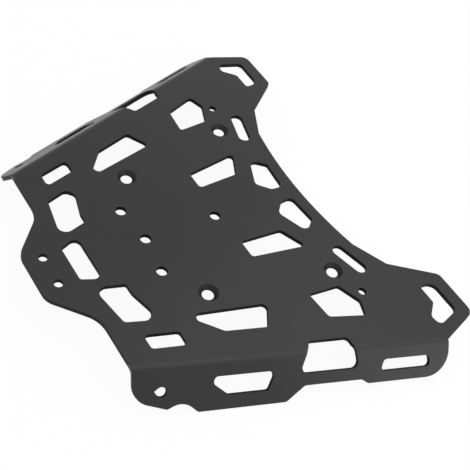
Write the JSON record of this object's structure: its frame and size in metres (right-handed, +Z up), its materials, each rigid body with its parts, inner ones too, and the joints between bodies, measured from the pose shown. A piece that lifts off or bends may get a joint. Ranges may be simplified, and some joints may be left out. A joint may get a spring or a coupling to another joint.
{
  "type": "motorcycle luggage rack",
  "caption": "Flat folded-sheet rear luggage rack with tie-down windows, countersunk mounting holes, down-folded side flanges and flared rear wings.",
  "frame": {"origin": "centre of the bounding box in X and Y, on the centreline, level with the lowest edges of the side flanges", "axes": "+X from the narrow front tab to the rear wings, +Y across the deck, +Z up and square to the deck's flat top"},
  "size_m": [0.3006, 0.382, 0.0283],
  "materials": {
    "powder_coat": "fine-textured matte black powder coat over aluminium sheet"
  },
  "bodies": {
    "root": {"rack_plate": "powder_coat"}
  },
  "joints": []
}
